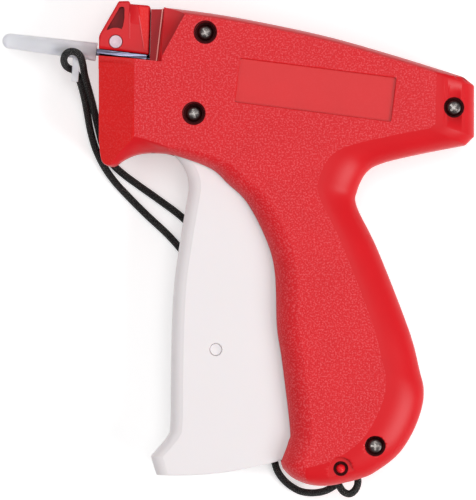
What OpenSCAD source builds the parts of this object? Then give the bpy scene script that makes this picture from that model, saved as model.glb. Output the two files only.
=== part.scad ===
/* [Housing] */
// Thickness of the housing across both shells
body_t = 28; // [27:0.5:32]
// Wall thickness of the shells
wall = 2.2; // [1.8:0.1:2.6]
// Distance from the origin forward to the front of the nose
nose_x = 42; // [41.5:0.1:42.4]
// Distance from the origin back to the end of the tail
tail_x = 71; // [69:0.5:75]
// Height of the ledge that the needle block stands over
ledge_y = 54.5; // [54:0.1:55]
// Width of the large round along the back of the handle
back_round = 6.6; // [4:0.2:7]
// Width of the small round along every other edge
edge_round = 1.4; // [0.8:0.1:2]
// Height of the rounds, measured down from a face
round_h = 6; // [4:0.5:7]
// Depth of the bare panel sunk into each face
panel_depth = 0.8; // [0.4:0.1:1.2]
// Length of the bare panel
panel_l = 46.9; // [40:0.5:50]
// Height of the bare panel
panel_h = 13.1; // [10:0.1:14]
// How far the front facets of the nose fall
facet_drop = 6.5; // [4:0.5:7.5]

/* [Screws] */
// Radius of a screw's shank
screw_r = 1.25; // [1:0.05:1.4]
// Radius of a screw's head
screw_head_r = 2.5; // [2.2:0.1:2.7]
// Height of a screw's head
screw_head_h = 1.6; // [1.2:0.1:2]
// Radius of the recess round a screw's head
recess_r = 3.1; // [2.9:0.1:3.3]
// Depth of that recess
recess_depth = 4.2; // [3.6:0.1:4.6]
// Radius of the bosses that the screws run into
boss_r = 3.6; // [3.4:0.1:4]

/* [Trigger] */
// Width of the trigger
trigger_w = 15; // [13:0.5:16]
// Thickness of the trigger's two side plates
plate_t = 2; // [1.6:0.1:2.4]
// Thickness of the trigger's front wall
trigger_wall = 2.6; // [2:0.1:3.2]
// How far the trigger turns when it is squeezed, in degrees
trigger_swing = 16.5; // [14:0.5:16.5]
// Radius of the eye round the trigger's pivot
eye_r = 5.4; // [5.2:0.1:5.8]
// Radius of the tie pin between the trigger's plates
tie_r = 1.8; // [1.4:0.1:2.2]

/* [Drive] */
// How far the drive lever turns over one stroke, in degrees
lever_swing = 37; // [34:0.5:38]
// Length of the drive lever's lower arm
lever_down = 20; // [18.5:0.5:21]
// Thickness of the drive lever
lever_t = 4; // [3:0.5:5]
// Radius of the drive lever's pivot pin
lever_pin_r = 1.5; // [1.2:0.1:1.8]
// Radius of the two pins in the lever's ends
drive_pin_r = 1.2; // [1:0.1:1.4]
// Length of the slide
slide_l = 14; // [12:0.5:18]
// Height of the slide
slide_h = 7; // [6:0.5:8]
// Width of the slide across the housing
slide_w = 10; // [9:0.5:12]
// Radius of the ejector rod
rod_r = 0.6; // [0.4:0.05:0.7]
// Running clearance of pins and rods
run = 0.05; // [0.03:0.01:0.08]
// Gap beside sliding and swinging faces
gap = 0.3; // [0.2:0.05:0.4]

/* [Head] */
// Angle that the needle points up from the housing's level, in degrees
tilt = 7.2; // [7:0.1:7.4]
// Radius of the needle outside
needle_r = 1.1; // [1:0.05:1.2]
// Radius of the needle's bore
needle_bore = 0.8; // [0.75:0.05:0.85]
// Length of needle ahead of its base
needle_l = 24; // [18:0.5:25]
// Length of the needle's steel base
base_l = 15; // [12:0.5:15]
// Width of the needle block across the housing
block_w = 18; // [16:0.5:20]
// Radius of the needle lock's shaft
lock_r = 1.92; // [1.6:0.02:2.1]
// Thickness of the needle lock's lever
lock_t = 3; // [2:0.2:3.2]
// Tip radius of the feed wheel
wheel_r = 4.8; // [4.2:0.1:4.9]
// Number of teeth on the feed wheel
wheel_teeth = 12; // [8:1:16]
// Width of the feed wheel
wheel_w = 5; // [3:0.5:5.5]
// Width of the slot that the fastener clip runs down
clip_slot = 1.2; // [0.9:0.1:1.4]
// Radius of the feed wheel's axle
axle_r = 1.5; // [1:0.1:1.8]

/* [Needle cap] */
// Length of the needle cap
cap_l = 28.6; // [27.5:0.1:31]
// Radius of the cap at its mouth
cap_mouth_r = 2.75; // [2.5:0.05:3]
// Radius of the cap near its tip
cap_tip_r = 2.3; // [2:0.05:2.5]
// Wall thickness of the cap
cap_wall = 0.9; // [0.7:0.05:1]
// Width of the tab that holds the strap
tab_w = 2.1; // [1.6:0.1:2.6]
// Length of that tab below the cap
tab_l = 7.5; // [6:0.1:9]
// Thickness of that tab
tab_t = 1.2; // [0.9:0.1:1.6]

/* [Strap] */
// Diameter of the strap's cord
cord_d = 2.2; // [2:0.1:2.2]
// Radius of the pin that holds the strap
strap_pin_r = 1.35; // [1:0.05:1.5]
// Radius of the hole at each end of that pin
strap_hole_r = 2.25; // [2:0.05:2.5]
// Width of the slot that the strap goes into
strap_slot_w = 10.2; // [9.8:0.1:10.6]
// Height of the strap slot across the housing
strap_slot_t = 9; // [8:0.5:10]

/* [Hidden] */

$fn = 48;
half_t = body_t / 2;
mid = half_t;
eps = 0.05;
round_steps = 4;
inner_h = half_t - wall;

screw_at = [[-9.75, 63.15], [-13.2, 38.9], [64.6, 40.7], [41.04, -60.6]];
pivot = screw_at[1];
lever_at = [24, 14];
wheel_at = [-19.8, 47.8];
lock_at = [-36.66, 60.5];
strap_at = [30.75, -67.35];
tie_at = [-6.7, -31.8];
needle_at = [-42.65, 57.7];
panel_at = [23.2, 45.9];
trigger_z = trigger_w / 2;

// Points along a smooth curve through p, n to a span, without its last point.
function cr(a, b, c, d, t) =
    0.5 * (2 * b + (c - a) * t + (2 * a - 5 * b + 4 * c - d) * t * t
           + (3 * b - a - 3 * c + d) * t * t * t);
function curve(p, n) =
    [for (i = [0:len(p) - 2]) for (k = [0:n - 1])
        cr(p[max(i - 1, 0)], p[i], p[i + 1], p[min(i + 2, len(p) - 1)], k / n)];
function turned(p, a, c) =
    [c.x + (p.x - c.x) * cos(a) - (p.y - c.y) * sin(a),
     c.y + (p.x - c.x) * sin(a) + (p.y - c.y) * cos(a)];

// Side outline of the housing, clockwise from the front end of the ledge.
top_edge = [[-22.5, 71], [-2.4, 68.25], [24.4, 62.8], [45.4, 57], [tail_x - 4, 50.3]];
back_edge = [[tail_x - 2.6, 29.4], [54, 26.6], [43.5, 24], [38.7, 21.2], [35.9, 15.7],
             [35.9, 10.9], [42.1, -1.95], [51.4, -25.8], [54.6, -37.8], [55.9, -44],
             [55.1, -50.2], [52.2, -57.4], [47.9, -63.6], [41.4, -68.6], [36.7, -70.7],
             [28, -72.7], [22, -72.6], [16.6, -70.6], [13.4, -67.6], [12.6, -65.5]];
front_edge = [[12.6, -65.5], [14.9, -59.3], [15.3, -55], [12.9, -35], [11.4, -24.8],
              [10.8, -8.9], [8.3, 0.9], [2.6, 12], [-3.1, 17.7], [-8.5, 22.4],
              [-19.2, 26.3], [-25, 27.1], [-29.9, 26.7], [-33.8, 25.2], [-36.8, 23.2],
              [-38.7, 23.1], [-40.5, 24], [-nose_x + 0.6, 26.2], [-nose_x + 0.1, 31]];
outline_pts = concat([[-nose_x, ledge_y], [-24.5, ledge_y]], curve(top_edge, 4),
                     [[tail_x - 4, 50.3], [tail_x, 47.2], [tail_x, 32]],
                     curve(back_edge, 4), curve(front_edge, 4),
                     [[-nose_x + 0.1, 31]]);

module outline() {
    polygon(outline_pts);
}

// One level of a shell: t runs from 0 at the parting line to 1 at the face.
module level(t, inward) {
    in = 1 - sqrt(1 - t * t);
    offset(delta = -inward - edge_round * in)
        intersection() {
            outline();
            translate([-back_round * in, 0.35 * back_round * in]) outline();
        }
}

// A half of the housing as stepped levels, standing on the parting plane.
module levels(inward) {
    for (k = [0:round_steps]) {
        t = k == 0 ? 0 : sin(90 * (k - 0.5) / round_steps);
        z = k == round_steps ? half_t : half_t - round_h + round_h * sin(90 * k / round_steps);
        linear_extrude(z - inward) level(t, inward);
    }
}

// What follows places things along the needle's own line, s back from its base.
module on_line(s, up) {
    translate(concat(needle_at, [0]))
        rotate([0, 0, -tilt])
            translate([s, up, 0])
                children();
}

// The rear edge leaves room for the drive lever's pivot.
trigger_front = [[-18.4, 38.9], [-20.6, 34], [-20.9, 29.6], [-19.2, 26.3], [-16.9, 23.5],
                 [-15.4, 20], [-15, 17], [-15.4, 13.5], [-17.5, 1], [-19.3, -11.9],
                 [-20, -24.8], [-20.3, -38.8], [-20.5, -54.2], [-21.5, -58.1],
                 [-25, -62.4], [-26.5, -64.1]];
trigger_rear = [[19.3, -60.8], [20, -57], [18.6, -45], [17.4, -33], [17.6, -24], [19.2, -17],
                [19.6, -8], [18.6, -1.6], [15, -0.2], [11.2, 4.5], [8.6, 9.5], [4, 16],
                [-2, 23], [-6, 30], [-8, 38.9]];
// Its foot is rounded about the pivot, so that it clears the strap as it swings.
trigger_foot = [[-24.6, -69.6], [18.44, -63.31]];
foot_r = [for (p = trigger_foot) norm(p - pivot)];
foot_angle = [for (p = trigger_foot) atan2(p.x - pivot.x, pivot.y - p.y)];
trigger_pts = concat(curve(trigger_front, 3),
    [for (k = [0:8]) let (a = foot_angle[0] + (foot_angle[1] - foot_angle[0]) * k / 8,
                          r = foot_r[0] + (foot_r[1] - foot_r[0]) * k / 8)
        [pivot.x + r * sin(a), pivot.y - r * cos(a)]],
    curve(trigger_rear, 3));

module trigger_outline() {
    polygon(trigger_pts);
    translate(pivot) circle(eye_r);
}

// Lever geometry: it swings evenly to both sides of a square line to the needle's.
lever_drop = (needle_at.y - lever_at.y) * cos(tilt) + (needle_at.x - lever_at.x) * sin(tilt);
lever_s = (lever_at.x - needle_at.x) * cos(tilt) + (needle_at.y - lever_at.y) * sin(tilt);
lever_up = 2 * lever_drop / (1 + cos(lever_swing / 2));
lever_rest = tilt + lever_swing / 2;
slide_s = lever_s + lever_up * sin(lever_swing / 2);
slide_travel = 2 * lever_up * sin(lever_swing / 2);
low_pin = [lever_at.x - lever_down * sin(lever_rest), lever_at.y - lever_down * cos(lever_rest)];
high_pin = [lever_at.x + lever_up * sin(lever_rest), lever_at.y + lever_up * cos(lever_rest)];
function pin_in_trigger(t) =
    turned(turned(low_pin, lever_swing * t, lever_at), -trigger_swing * t, pivot);
pin_path = [for (k = [0:8]) pin_in_trigger(k / 8)];

// The room that the trigger needs as it swings.
module trigger_bay() {
    offset(delta = 2 * gap)
        for (k = [0:5])
            translate(pivot)
                rotate(trigger_swing * k / 5)
                    translate(-pivot)
                        trigger_outline();
}

guide_s = 18;
guide_l = 9;
guide_h = 6;
rail_s = slide_s - slide_travel - slide_l / 2 - 2;
rail_l = slide_travel + slide_l + 6;
rail_t = 1.5;
bay_z = trigger_z + 2 * gap;

// What both shells have inside, standing on the parting plane.
module inside() {
    reach = inner_h + 0.4;
    for (p = screw_at)
        translate(p) cylinder(r = boss_r, h = reach);
    translate(lever_at)
        translate([0, 0, lever_t / 2 + gap]) cylinder(r = 3.2, h = reach - lever_t / 2 - gap);
    translate(strap_at)
        translate([0, 0, strap_slot_t / 2]) cylinder(r = 3.6, h = reach - strap_slot_t / 2);
    for (side = [-1, 1])
        on_line(rail_s, side * (slide_h / 2 + gap) + (side < 0 ? -rail_t : 0))
            translate([0, 0, lever_t / 2 + 2 * gap])
                cube([rail_l, rail_t, reach - lever_t / 2 - 2 * gap]);
    on_line(rail_s, -rail_t / 2)
        translate([0, 0, slide_w / 2 + gap]) cube([rail_l, rail_t, reach - slide_w / 2 - gap]);
    on_line(guide_s + 1, 1.5)
        translate([0, 0, guide_h / 2 + eps]) cube([guide_l - 2, rail_t, reach - guide_h / 2 - eps]);
}

// What is cut from both shells.
module cuts() {
    translate([0, 0, -1]) linear_extrude(bay_z + 1) trigger_bay();
    translate(lever_at)
        translate([0, 0, -1]) cylinder(r = lever_pin_r + run, h = inner_h);
    translate(strap_at)
        translate([0, 0, -1]) cylinder(r = strap_pin_r + run, h = body_t);
    translate(strap_at)
        translate([0, 0, half_t - 3]) cylinder(r = strap_hole_r, h = 4);
    translate([strap_at.x + 1.55 - strap_slot_w / 2, strap_at.y - 9, -1])
        cube([strap_slot_w, 9.5, strap_slot_t / 2 + 1]);
    on_line(guide_s - 3, -guide_h / 2 - gap)
        translate([0, 0, -1]) cube([guide_l + 6, guide_h + 2 * gap, guide_h / 2 + gap + 1]);
    translate([-26.2, 18, -1]) cube([clip_slot, ledge_y - 17, 7]);
    translate(concat(panel_at, [half_t - panel_depth]))
        rotate([0, 0, -tilt])
            translate([-panel_l / 2, -panel_h / 2, 0]) cube([panel_l, panel_h, 2]);
    translate([0, 0, half_t - 1.1]) linear_extrude(3) strap_arch();
    nose_facet();
    head_ramp();
}

module strap_arch() {
    translate(strap_at) circle(3.5);
    polygon([[27.3, -67.3], [strap_at.x + 3.4, -67], [37.2, -70], [37.2, -76], [26.9, -76]]);
}

// The nose's face slopes down to the front.
module nose_facet() {
    facet_x = -31;
    low = half_t - facet_drop * (nose_x + 1 + facet_x) / (nose_x + facet_x);
    rotate([90, 0, 0])
        translate([0, 0, -80])
            linear_extrude(65)
                polygon([[facet_x, half_t], [-nose_x - 1, low],
                         [-nose_x - 1, half_t + 1], [facet_x, half_t + 1]]);
}

// The smooth ramp that falls from the face to the clip slot.
module head_ramp() {
    fall = 4.6;
    polyhedron(
        points = [[-14, 72, half_t], [-24, 53.6, half_t], [-22.3, 72, half_t - fall],
                  [-14, 72, half_t + 1], [-24, 53.6, half_t + 1], [-24.6, 72, half_t + 1],
                  [-24.6, 72, half_t - fall], [-24.9, 53.6, half_t + 1], [-24.9, 53.6, half_t]],
        faces = [[0, 3, 4], [0, 4, 1], [0, 1, 2], [1, 8, 2], [8, 6, 2], [0, 2, 6], [0, 6, 5],
                 [0, 5, 3], [3, 5, 7], [3, 7, 4], [1, 4, 7], [1, 7, 8], [5, 6, 8], [5, 8, 7]]);
}

// The hollow follows the facet and the ramp, so that the wall keeps its thickness.
module hollow() {
    difference() {
        translate([0, 0, -eps]) levels(wall);
        translate([0, 0, -wall]) nose_facet();
        translate([0, 0, -wall]) head_ramp();
    }
}

module shell_half() {
    difference() {
        union() {
            difference() {
                levels(0);
                hollow();
            }
            intersection() {
                inside();
                levels(wall / 2);
            }
        }
        cuts();
    }
}

module right_shell() {
    color("crimson")
    translate([0, 0, mid]) mirror([0, 0, 1])
    difference() {
        union() {
            shell_half();
            // seat of the feed wheel's axle, the rest of the feed pawl and the spring's post
            translate(wheel_at)
                translate([0, 0, mid - wheel_z + gap])
                    cylinder(r = 3, h = inner_h - mid + wheel_z - gap + 0.4);
            translate([-33, 40, pawl_z]) cube([6, 4, inner_h - pawl_z + 0.4]);
            translate(concat(spring_post, [1])) cylinder(r = 1, h = inner_h - 0.6);
        }
        for (p = screw_at)
            translate(p) translate([0, 0, -1]) cylinder(r = screw_r + run, h = half_t - 2);
        translate(wheel_at) translate([0, 0, -1]) cylinder(r = axle_r + run, h = half_t - 0.5);
        translate([leg_x - gap, 46, block_leg_z - gap])
            cube([leg_l + 2 * gap, ledge_y - 45, leg_t + 2 * gap]);
    }
}

module left_shell() {
    color("crimson")
    translate([0, 0, mid])
    difference() {
        shell_half();
        for (p = screw_at) {
            translate(p) translate([0, 0, -1]) cylinder(r = screw_r + 2 * run, h = body_t);
            translate(p)
                translate([0, 0, half_t - recess_depth]) cylinder(r = recess_r, h = recess_depth + 1);
        }
    }
}

module housing_screws() {
    color("silver")
    for (p = screw_at)
        translate(concat(p, [mid]))
            difference() {
                union() {
                    translate([0, 0, half_t - recess_depth])
                        cylinder(r = screw_head_r, h = screw_head_h);
                    translate([0, 0, 4.5 - half_t])
                        cylinder(r = screw_r, h = body_t - recess_depth - 4.5);
                }
                for (a = [0, 90])
                    rotate([0, 0, a + 20])
                        translate([-1.5, -0.3, half_t - recess_depth + screw_head_h - 1])
                            cube([3, 0.6, 2]);
            }
}

// The trigger is a channel, closed at the front and open towards the handle.
module trigger() {
    color("white")
    translate([0, 0, mid])
    difference() {
        translate([0, 0, -trigger_z]) linear_extrude(trigger_w) trigger_outline();
        translate([0, 0, -trigger_z + plate_t])
            linear_extrude(trigger_w - 2 * plate_t)
                trigger_hollow();
        translate(pivot)
            translate([0, 0, -body_t]) cylinder(r = boss_r + run, h = 2 * body_t);
        translate(tie_at)
            translate([0, 0, -body_t]) cylinder(r = tie_r + run, h = 2 * body_t);
        translate([0, 0, -body_t]) linear_extrude(2 * body_t) pin_slot(drive_pin_r + 2 * run);
    }
}

// A round-ended slot of half width r along the lower pin's path.
module pin_slot(r) {
    last = len(pin_path) - 1;
    across = [for (i = [0:last])
        let (v = pin_path[min(i + 1, last)] - pin_path[max(i - 1, 0)]) [-v.y, v.x] / norm(v)];
    function end_round(i, from) =
        [for (k = [1:11]) let (a = from + 15 * k) pin_path[i] + r * [cos(a), sin(a)]];
    heading = [for (n = across) atan2(n.y, n.x)];
    polygon(concat([for (i = [0:last]) pin_path[i] - r * across[i]],
                   end_round(last, heading[last] + 180),
                   [for (i = [last:-1:0]) pin_path[i] + r * across[i]],
                   end_round(0, heading[0])));
}

module trigger_hollow() {
    offset(delta = -trigger_wall) polygon(trigger_pts);
    intersection() {
        offset(delta = 1) trigger_outline();
        translate([3, 3]) offset(delta = -trigger_wall) polygon(trigger_pts);
    }
    translate([-40, 27]) square([60, 30]);
}

module trigger_tie_pin() {
    color("gainsboro")
    translate(concat(tie_at, [mid - trigger_z + 0.2])) cylinder(r = tie_r, h = trigger_w - 0.4);
}

// Wire swept along points: eight or six sides, ends flat.
function side(t) = let (n = cross(t, [0, 0, 1])) n / norm(n);
function tangent(p, i) =
    let (v = p[min(i + 1, len(p) - 1)] - p[max(i - 1, 0)]) v / norm(v);
module tube(p, d, sides) {
    n = len(p);
    pts = [for (i = [0:n - 1])
        let (t = tangent(p, i), u = side(t), v = cross(u, t))
            for (k = [0:sides - 1])
                p[i] + d / 2 * (u * cos(360 * k / sides) + v * sin(360 * k / sides))];
    skin = [for (i = [0:n - 2]) for (k = [0:sides - 1])
        let (a = i * sides + k, b = i * sides + (k + 1) % sides)
            each [[a, a + sides, b], [b, a + sides, b + sides]]];
    front = [for (k = [1:sides - 2]) [0, k, k + 1]];
    end = (n - 1) * sides;
    rear = [for (k = [1:sides - 2]) [end, end + k + 1, end + k]];
    polyhedron(points = pts, faces = concat(skin, front, rear));
}

spring_post = [2.6, 42.6];
wire_d = 0.9;
coil_r = boss_r + gap + wire_d / 2;
coils = 3;
spring_z = mid - trigger_z + plate_t + 0.8;
coil_pitch = wire_d + gap;
// One leg bears on the inside of the trigger, the other on a post of the shell.
coil_step = 30;
coil_from = -20;
spring_coil = [for (k = [0:12 * coils - 2]) let (a = coil_from + coil_step * k)
    [pivot.x + coil_r * cos(a), pivot.y + coil_r * sin(a), spring_z + coil_pitch * k / 12]];
spring_top = spring_z + coil_pitch * coils;
spring_route = concat([[pivot.x + 0.9, pivot.y - 18, spring_z - 0.1],
                       [pivot.x + 2.7, pivot.y - 9, spring_z - 0.1]], spring_coil,
                      [[pivot.x + 8, pivot.y - 0.9, spring_top],
                       [spring_post.x + 1.4, spring_post.y - 1.6, spring_top]]);

module trigger_spring() {
    color("dimgray")
    tube(spring_route, wire_d, 6);
}

module drive_lever() {
    color("whitesmoke")
    translate([0, 0, mid - lever_t / 2])
    difference() {
        linear_extrude(lever_t)
            union() {
                hull() {
                    translate(lever_at) circle(4.2);
                    translate(low_pin) circle(2.8);
                }
                hull() {
                    translate(lever_at) circle(4.2);
                    translate(high_pin) circle(2.6);
                }
            }
        translate(lever_at) translate([0, 0, -1]) cylinder(r = lever_pin_r + run, h = lever_t + 2);
        translate(low_pin) translate([0, 0, -1]) cylinder(r = drive_pin_r, h = lever_t + 2);
        translate(high_pin) translate([0, 0, -1]) cylinder(r = drive_pin_r, h = lever_t + 2);
    }
}

module lever_pivot_pin() {
    color("silver")
    translate(concat(lever_at, [mid - inner_h + 1.4])) cylinder(r = lever_pin_r, h = 2 * inner_h - 2.8);
}

module lower_drive_pin() {
    color("silver")
    translate(concat(low_pin, [mid - trigger_z + 0.4])) cylinder(r = drive_pin_r, h = trigger_w - 0.8);
}

module upper_drive_pin() {
    color("silver")
    translate(concat(high_pin, [mid - slide_w / 2 + 0.3])) cylinder(r = drive_pin_r, h = slide_w - 0.6);
}

module slide() {
    pocket = 11;
    color("whitesmoke")
    translate([0, 0, mid])
    difference() {
        on_line(slide_s - slide_l / 2, -slide_h / 2)
            translate([0, 0, -slide_w / 2]) cube([slide_l, slide_h, slide_w]);
        on_line(slide_s - pocket / 2, -slide_h)
            translate([0, 0, -lever_t / 2 - gap]) cube([pocket, 2 * slide_h, lever_t + 2 * gap]);
        on_line(slide_s - drive_pin_r - gap, -slide_h / 2 + 0.8)
            translate([0, 0, -slide_w]) cube([2 * (drive_pin_r + gap), slide_h - 1.6, 2 * slide_w]);
        on_line(slide_s - slide_l, 0)
            rotate([0, 90, 0]) cylinder(r = rod_r, h = slide_l);
    }
}

rod_s = guide_s + 1;
module ejector_rod() {
    color("silver")
    translate([0, 0, mid])
    on_line(rod_s, 0)
        rotate([0, 90, 0]) cylinder(r = rod_r, h = slide_s - 5.6 - rod_s);
}

module rod_guide() {
    color("whitesmoke")
    translate([0, 0, mid])
    on_line(guide_s, 0)
        difference() {
            translate([0, -guide_h / 2, -guide_h / 2]) cube([guide_l, guide_h, guide_h]);
            translate([-1, 0, 0]) rotate([0, 90, 0]) cylinder(r = rod_r + run, h = guide_l + 2);
        }
}

module cutter_blade() {
    color("silver")
    translate([0, 0, mid])
    on_line(guide_s - 0.55, -2.6)
        translate([0, 0, rod_r + 0.4]) cube([0.5, 4.6, 2]);
}

wheel_z = 4.6;
module feed_wheel() {
    root = wheel_r - 1.3;
    color("whitesmoke")
    translate(concat(wheel_at, [wheel_z]))
    difference() {
        union() {
            cylinder(r = root, h = wheel_w);
            for (k = [0:wheel_teeth - 1])
                rotate([0, 0, 360 * k / wheel_teeth])
                    linear_extrude(wheel_w)
                        polygon([[root - 0.6, -0.9], [wheel_r, -0.35], [wheel_r, 0.25],
                                 [root - 0.6, 0.9]]);
        }
        translate([0, 0, -1]) cylinder(r = axle_r + run, h = wheel_w + 2);
    }
}

module feed_wheel_axle() {
    color("silver")
    translate(concat(wheel_at, [2])) cylinder(r = axle_r, h = wheel_z + wheel_w - 1.4);
}

// A leaf that rests on a block of the shell and reaches to the wheel's teeth.
pawl_z = mid - wheel_z - 0.6;
module feed_pawl() {
    color("silver")
    translate([0, 0, mid - pawl_z + eps])
        linear_extrude(1.1)
            polygon([[-33, 40.6], [-28, 40.6], [wheel_at.x - wheel_r - gap, wheel_at.y - 1.3],
                     [wheel_at.x - wheel_r - 0.9, wheel_at.y - 0.7], [-28.6, 42.6], [-33, 42.6]]);
}

// The block's leg goes down into the nose beside the needle's base.
block_leg_z = 4.7;
leg_x = -36;
leg_l = 8;
leg_t = 3.9;
module needle_block() {
    color("crimson")
    translate([0, 0, mid])
    difference() {
        union() {
            translate([0, 0, -block_w / 2])
                linear_extrude(block_w)
                    polygon([[-41.7, 58.45], [-41.7, 61.8], [-40.95, 63.6], [-35.9, 72.4], [-32.6, 72.7],
                             [-32.2, 71.8], [-27.2, 71.4], [-26.3, 70.9], [-26.7, 56.5]]);
            translate([leg_x, 47, -block_leg_z - leg_t]) cube([leg_l, 12.5, leg_t]);
        }
        on_line(-2, -1)
            translate([0, 0, -block_leg_z]) cube([22, 1 + 0.75, block_w]);
        on_line(-3, 0)
            rotate([0, 90, 0]) cylinder(r = needle_r + 0.1, h = 24);
        translate(lock_at)
            translate([0, 0, -body_t]) cylinder(r = lock_r + run, h = 2 * body_t);
        translate([0, 0, block_w / 2 - 1.5])
            linear_extrude(3)
                difference() {
                    polygon([[-34.5, 71.2], [-33.7, 71], [-34.3, 63.5], [-39, 64]]);
                    translate(lock_at) circle(3.9);
                }
    }
}

// A slotted steel tube on a flat steel base, ground to a point.
module needle() {
    color("lightsteelblue")
    translate([0, 0, mid])
    on_line(0, 0)
        difference() {
            union() {
                translate([-needle_l, 0, 0])
                    rotate([0, 90, 0]) cylinder(r = needle_r, h = needle_l + base_l + 1.5);
                translate([0.3, -0.5, -4]) cube([base_l, 1.2, 11.5]);
            }
            translate([-needle_l - 1, 0, 0])
                rotate([0, 90, 0]) cylinder(r = needle_bore, h = needle_l + base_l + 4);
            translate([-needle_l - 1, 0, -0.35]) cube([needle_l + base_l + 4, 3, 0.7]);
            translate([-needle_l, 0, 0]) rotate([0, 0, -68]) translate([-6, -3, -3]) cube([6, 9, 6]);
        }
}

// The shaft's end shows in the block, and its lever lies against the far side.
module needle_lock() {
    far = [-31.6, 68.2];
    color("mistyrose")
    translate([0, 0, mid]) {
        translate(lock_at)
            translate([0, 0, -block_w / 2 - 0.2]) cylinder(r = lock_r, h = block_w + 0.2);
        translate([0, 0, -block_w / 2 - 0.1 - lock_t])
            linear_extrude(lock_t)
                hull() {
                    translate(lock_at) circle(3);
                    translate(far) circle(2);
                }
    }
}

module needle_cap() {
    hold = 4;
    color("aliceblue", 0.7)
    translate([0, 0, mid]) {
        difference() {
            on_line(-cap_l, 0)
                rotate([0, 90, 0])
                    rotate_extrude()
                        polygon(concat([[0, 0]],
                            [for (a = [15:15:90]) [cap_tip_r * sin(a), cap_tip_r * (1 - cos(a))]],
                            [[cap_mouth_r, cap_l], [0, cap_l]]));
            on_line(-cap_l + 2.6, 0)
                rotate([0, 90, 0]) cylinder(r = cap_tip_r - cap_wall, h = cap_l - 2.6 - hold + eps);
            on_line(-hold, 0)
                rotate([0, 90, 0]) cylinder(r = needle_r + run, h = hold + 1);
        }
        translate([-50.2, 56.6 - tab_l - 0.4, 0.6])
            rotate([0, 0, -4]) cube([tab_w, tab_l + 0.6, tab_t]);
    }
}

module strap_pin() {
    dome = half_t - 1.6;
    color("firebrick")
    translate(concat(strap_at, [mid])) {
        translate([0, 0, -dome + 0.6]) cylinder(r = strap_pin_r, h = 2 * dome - 1.2);
        for (m = [0, 1])
            mirror([0, 0, m])
                translate([0, 0, dome - 0.6]) scale(0.98) sphere(r = strap_pin_r);
    }
}

// The strap: out of the handle, over the table, round the cap's tab and back to a knot.
lay = cord_d / 2 + 0.1;
cord_route = [[31.6, -69.2, 12.4], [30.4, -71.6, 11.6], [28.6, -73.5, 10.2], [25.6, -75, 7.6],
    [22, -75.5, 4.9], [18.4, -74.9, 2.6], [14.8, -72.6, 1.5], [12.2, -69.4, lay],
    [11, -65.5, lay], [10.4, -60, lay], [9, -52, lay], [6.8, -44, lay], [3.6, -36, lay],
    [-0.6, -28, lay], [-5.4, -20, lay], [-10.4, -12, lay], [-15.6, -4, lay], [-21, 2.4, lay],
    [-27.4, 8.4, lay], [-33.2, 14.2, lay], [-37.6, 19, lay], [-41, 24, lay], [-43.3, 29, 1.4],
    [-44.7, 34, 2], [-45.6, 39, 3.4], [-46.4, 43.6, 5.6], [-47.2, 47.6, 8.4],
    [-48.2, 50.8, 10.6], [-49.6, 52.6, 11.6], [-51.2, 53.3, 12.5], [-52.5, 54.3, 14.2],
    [-52.9, 55.8, 16.5], [-52.3, 57.4, 18], [-51, 58.3, 18.5], [-49.6, 58.5, 18.6],
    [-48.2, 58.1, 18.4], [-47, 57, 17.9], [-46.3, 55.4, 16.6], [-46, 53.6, 14.4],
    [-45.8, 51.4, 12], [-45.2, 48.4, 9.4], [-44.4, 44.8, 6.6], [-43.5, 40.2, 4],
    [-42.4, 35, 2.2], [-41, 29.6, 1.4], [-38.8, 25, lay], [-35.2, 21.4, lay],
    [-29.8, 17.4, lay], [-23.6, 13, lay], [-17, 8, lay], [-11.4, 2, lay], [-6.6, -5.4, lay],
    [-2.6, -13, lay], [0.2, -20, lay], [1.7, -25.2, lay]];
bight_route = [[31.6, -61.6, 15], [33.4, -63.9, 15], [34.9, -66.6, 15], [35.8, -69.4, 15], [36.1, -72, 14.8],
    [35.3, -74.2, 14.4], [33.6, -75.4, 14.2], [31.7, -74.7, 14.2], [30.4, -72.8, 14.4],
    [29.2, -70.6, 14.6], [28, -68, 14.6], [27.9, -65.2, 14.6], [28.4, -62.2, 14.6]];
knot_at = [1.4, -29.4, 2.5];

module strap_cord() {
    color("black")
    tube(cord_route, cord_d, 8);
}

module strap_bight() {
    color("black")
    tube(bight_route, cord_d, 8);
}

module strap_knot() {
    color("black")
    translate(knot_at) sphere(r = 2.4);
}

right_shell();
left_shell();
housing_screws();
trigger();
trigger_tie_pin();
trigger_spring();
drive_lever();
lever_pivot_pin();
lower_drive_pin();
upper_drive_pin();
slide();
ejector_rod();
rod_guide();
cutter_blade();
feed_wheel();
feed_wheel_axle();
feed_pawl();
needle_block();
needle();
needle_lock();
needle_cap();
strap_pin();
strap_cord();
strap_bight();
strap_knot();
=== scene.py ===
import math

import bmesh
import bpy
from mathutils import Matrix, Vector


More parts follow.
